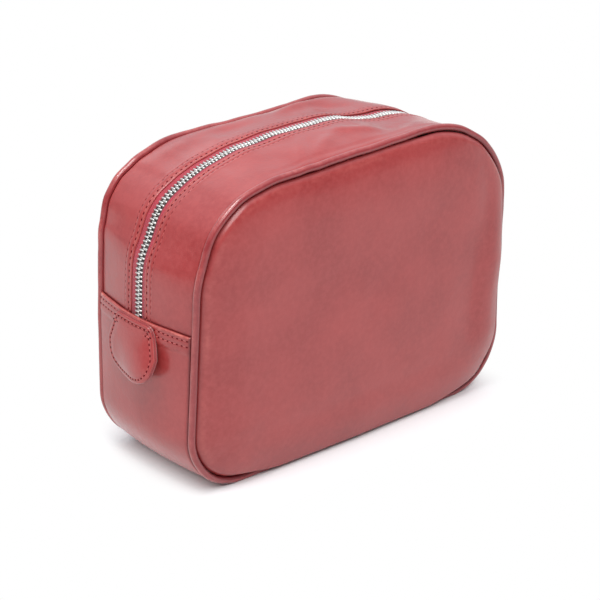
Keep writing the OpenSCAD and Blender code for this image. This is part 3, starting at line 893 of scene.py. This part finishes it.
# A thread from hole to hole along a line of points. What outward(point) returns is the wall's normal.
def sewRow(shape, line, outward, pitch=stitch["pitch"]):
    holes = evenly(line, pitch)
    for p, q in zip(holes, holes[1:]):
        normal = outward((p + q) / 2)
        along = (q - p).normalized()
        normal = (normal - along * normal.dot(along)).normalized()
        side = normal.cross(along)
        half, thick = (q - p).length / 2 - stitch["gap"], stitch["thread"]
        turn = Matrix((side * thick, normal * thick, along * half)).transposed().to_4x4()
        bmesh.ops.create_uvsphere(shape, u_segments=6, v_segments=4, radius=1,
                                  matrix=Matrix.Translation((p + q) / 2) @ turn)
    # dark cones in the holes: painted shade of the needle holes
    for i, p in enumerate(holes):
        normal = outward(p)
        along = (holes[min(i + 1, len(holes) - 1)] - holes[max(i - 1, 0)]).normalized()
        side = normal.cross(along).normalized()
        turn = Matrix((along * stitch["slit"], side, along.cross(side))).transposed().to_4x4()
        raised = Matrix.Translation(p + normal * stitch["holeRise"])
        made = bmesh.ops.create_cone(shape, cap_ends=True, segments=8, radius1=stitch["hole"],
                                     radius2=stitch["hole"] * stitch["taper"], depth=stitch["holeDepth"],
                                     matrix=raised @ turn)
        for vert in made["verts"]:
            for face in vert.link_faces:
                face.material_index = 1


def outwardFrom(point):
    x, z = max(-core["half"], min(core["half"], point.x)), max(core["low"], min(core["high"], point.z))
    return (point - Vector((x, point.y * core["across"], z))).normalized()


for side, word in sides.items():
    rows = bmesh.new()
    for row in zipStrip["stitchRows"]:
        across = side * (zipStrip["slotHalf"][side] + row)
        runs = [(2 * i / 400 - 1) * (hemRun + 1) for i in range(401)]
        sewRow(rows, [wallPoint(run, across, zipStrip["depth"] + 0.2) for run in runs], outwardFrom)
    finishPiece(word + "_strip_stitches", rows, [thread, paintedHoleShade], [], flap=word + "_flap")

hemRows = bmesh.new()
hemHalf, besideTab = gusset["edge"] - 1.6, tab["topHalf"] + 1.5
hemSpans = {-1: [(-hemHalf, tab["middle"] - besideTab), (tab["middle"] + besideTab, hemHalf)],
            1: [(-hemHalf, hemHalf)]}
for end in (-1, 1):
    for row in gusset["stitchRows"]:
        for low, high in hemSpans[end]:
            line = [mix(low, high, i / 40) for i in range(41)]
            points = [wallPoint(end * (hemEdge(w) + row), w, -hemRelief(row)) for w in line]
            sewRow(hemRows, points, outwardFrom)
finishPiece("hem_stitches", hemRows, [thread, paintedHoleShade], [])


def tabSeam(share):  # from one upper corner of the tab down and up to the other
    angle = math.pi * (tab["seamFrom"] - tab["seamTurn"] * share)
    r = tabReach(angle) - tab["stitchIn"]
    return tabSurface(r * math.cos(angle), tab["shoulder"] - r * math.sin(angle), tab["outer"] - 0.2)


tabRows = bmesh.new()
sewRow(tabRows, [tabSeam(i / 120) for i in range(121)], lambda p: Vector((-1, 0, 0)), tab["stitchPitch"])
for row in gusset["stitchRows"]:
    half = tab["topHalf"] - 1 + row * 0.4
    line = [tabSurface(mix(half, -half, i / 30), row, tab["outer"]) for i in range(31)]
    sewRow(tabRows, line, lambda p: Vector((-1, 0, 0)))
finishPiece("tab_stitches", tabRows, [thread, paintedHoleShade], [], flap="tab")
print("stitches made")


# Lining
lining = {
    "thickness": 0.4, "panelSeam": 6, "panelLevel": -3.4, "panelRoll": 0.3, "panelCells": (56, 56),
    "slotHalf": 9.4, "across": 38, "depth": 4.4, "stripCells": (150, 12), "stripWidth": 28,
    "gussetDepth": 3.3, "gussetCells": (150, 24), "underHem": 10,
}


def stripLiningPoint(side, u, v):
    across = side * mix(lining["slotHalf"], lining["across"], v)
    return wallPoint((2 * u - 1) * (hemRun + zipStrip["tuck"]), across, lining["depth"])


def gussetLiningPoint(u, v):
    q = 2 * u - 1
    run = math.copysign(halfRim - abs(q) * (halfRim - hemRun - lining["underHem"]), q)
    return wallPoint(run, (2 * v - 1) * lining["across"], lining["gussetDepth"])


for side, word in sides.items():
    place = partial(panelPoint, side, lining["panelSeam"], lining["panelLevel"], lining["panelRoll"])
    sheet = gridSheet(lining["panelCells"], (bag["width"], bag["height"]), place)
    finishPiece(word + "_lining", sheet, [liningCotton],
                halves(word + "_lining"), lining["thickness"], flap=word + "_flap")
    place = partial(stripLiningPoint, side)
    sheet = gridSheet(lining["stripCells"], (2 * hemRun, lining["stripWidth"]), place)
    finishPiece(word + "_strip_lining_cotton", sheet, [liningCotton],
                [word + "_strip_lining"], lining["thickness"], flap=word + "_flap")

sheet = gridSheet(lining["gussetCells"], (2 * (halfRim - hemRun), 2 * lining["across"]), gussetLiningPoint)
finishPiece("gusset_lining_cotton", sheet, [liningCotton], ["gusset_lining"], lining["thickness"])
print("lining made")


# Pieces that stay as the frame has them
def soften(node, finish, width):  # a finish and a small rounding on the edges of a CAD node
    piece = frame["nodes"][node]
    piece.data.materials.clear()
    piece.data.materials.append(finish)
    if width:
        rounding = piece.modifiers.new("edges", "BEVEL")
        rounding.width, rounding.segments, rounding.limit_method = width / 1000, 2, "ANGLE"


soften("slider_body", nickel, 0.2)
soften("puller", nickel, 0.25)
soften("base_board", greyBoard("greyBoard"), 0)


# Floor, light and camera
studio = {
    "floorRadius": 6000, "floorTone": "#f6f6f6",
    "plan": (90, 42, 1000), "whiteFrom": 4, "whiteTo": 42,  # beside this plan the floor turns plain white
    "skyTone": "#f6f9ff", "sky": 1, "dim": 0.18,
    "bright": (0.22, 0.35, 1), "skyFrom": 0.05, "skyTo": 0.75,  # the sky's bright side
}
softboxes = {  # place, aim, size and power in watts
    "keySoftbox": ((-400, -880, 1180), (0, 0, 60), (700, 700), 7.6),
    "topSoftbox": ((-420, -150, 1350), (0, 0, 100), (500, 500), 10.5),
    "backSoftbox": ((420, 1370, 1050), (0, 0, 100), (600, 400), 0.6),
}
camera = {"azimuth": -40.29, "elevation": 23.37, "roll": -0.82, "distance": 1413, "lens": 141, "sensor": 36,
          "target": (-4.83, -2.22, 77.68)}


def makeFloor():
    # White card: matt, lit by the lamps round the bag, and plain white to the camera further out.
    finish, add = newFinish("whiteCard")
    place = add("TexCoord").outputs["Object"]
    mirrored = add("VectorMath", {"operation": "ABSOLUTE"}, {0: place})
    plan = [v / 1000 for v in studio["plan"]]
    beside = add("VectorMath", {"operation": "SUBTRACT", 1: plan}, {0: mirrored})
    outside = add("VectorMath", {"operation": "MAXIMUM", 1: (0, 0, 0)}, {0: beside})
    far = add("VectorMath", {"operation": "LENGTH"}, {0: outside})
    limits = {"From Min": studio["whiteFrom"] / 1000, "From Max": studio["whiteTo"] / 1000}
    white = add("MapRange", {**limits, "interpolation_type": "SMOOTHSTEP"}, {"Value": far.outputs["Value"]})
    plain = add("BsdfDiffuse", {"Color": srgb(studio["floorTone"])})
    glow = add("Emission", {"Color": (1, 1, 1, 1), "Strength": 1})
    rays = add("LightPath").outputs
    seen = add("Math", {"operation": "MAXIMUM"}, {0: rays["Is Camera Ray"], 1: rays["Is Glossy Ray"]})
    seen = add("Math", {"operation": "MAXIMUM"}, {0: seen, 1: rays["Is Transmission Ray"]})
    share = add("Math", {"operation": "MULTIPLY"}, {0: white, 1: seen})
    closeFinish(add, add("MixShader", {}, {0: share, 1: plain, 2: glow}))
    disc = bmesh.new()
    bmesh.ops.create_circle(disc, cap_ends=True, segments=96, radius=studio["floorRadius"] / 1000)
    data = bpy.data.meshes.new("floor")
    disc.to_mesh(data)
    disc.free()
    data.materials.append(finish)
    floor = bpy.data.objects.new("floor", data)
    bpy.context.scene.collection.objects.link(floor)


def softbox(name, place, aim, size, power):
    light = bpy.data.lights.new(name, "AREA")
    light.shape, light.size, light.size_y, light.energy = "RECTANGLE", size[0] / 1000, size[1] / 1000, power
    lamp = bpy.data.objects.new(name, light)
    lamp.location = Vector(place) / 1000
    lamp.rotation_euler = (Vector(aim) - Vector(place)).to_track_quat("-Z", "Y").to_euler()
    bpy.context.scene.collection.objects.link(lamp)


def makeWorld():  # a light tent, brighter above and behind
    world = bpy.data.worlds.new("tent")
    world.use_nodes = True
    world.node_tree.nodes.clear()
    add = partial(addNode, world.node_tree)
    heading = add("TexCoord").outputs["Generated"]
    level = add("VectorMath", {"operation": "DOT_PRODUCT", 1: studio["bright"]}, {0: heading})
    strength = add("MapRange", {
        "From Min": studio["skyFrom"], "From Max": studio["skyTo"],
        "To Min": studio["dim"], "To Max": studio["sky"],
    }, {"Value": level.outputs["Value"]})
    glow = add("Background", {"Color": srgb(studio["skyTone"])}, {"Strength": strength})
    add("OutputWorld", {}, {"Surface": glow})
    bpy.context.scene.world = world


def makeCamera():
    a, e, roll = (math.radians(camera[key]) for key in ("azimuth", "elevation", "roll"))
    back = Vector((math.sin(a) * math.cos(e), -math.cos(a) * math.cos(e), math.sin(e)))
    right = Vector((math.cos(a), math.sin(a), 0))
    up = back.cross(right)
    tilted = right * math.cos(roll) + up * math.sin(roll)
    data = bpy.data.cameras.new("camera")
    data.lens, data.sensor_width, data.sensor_fit = camera["lens"], camera["sensor"], "HORIZONTAL"
    holder = bpy.data.objects.new("camera", data)
    turn = Matrix((tilted, back.cross(tilted), back)).transposed().to_4x4()
    place = (Vector(camera["target"]) + back * camera["distance"]) / 1000
    holder.matrix_world = Matrix.Translation(place) @ turn
    bpy.context.scene.collection.objects.link(holder)
    bpy.context.scene.camera = holder


makeFloor()
makeWorld()
makeCamera()
for name, settings in softboxes.items():
    softbox(name, *settings)
bpy.context.scene.view_settings.view_transform = "Standard"
print("studio made")
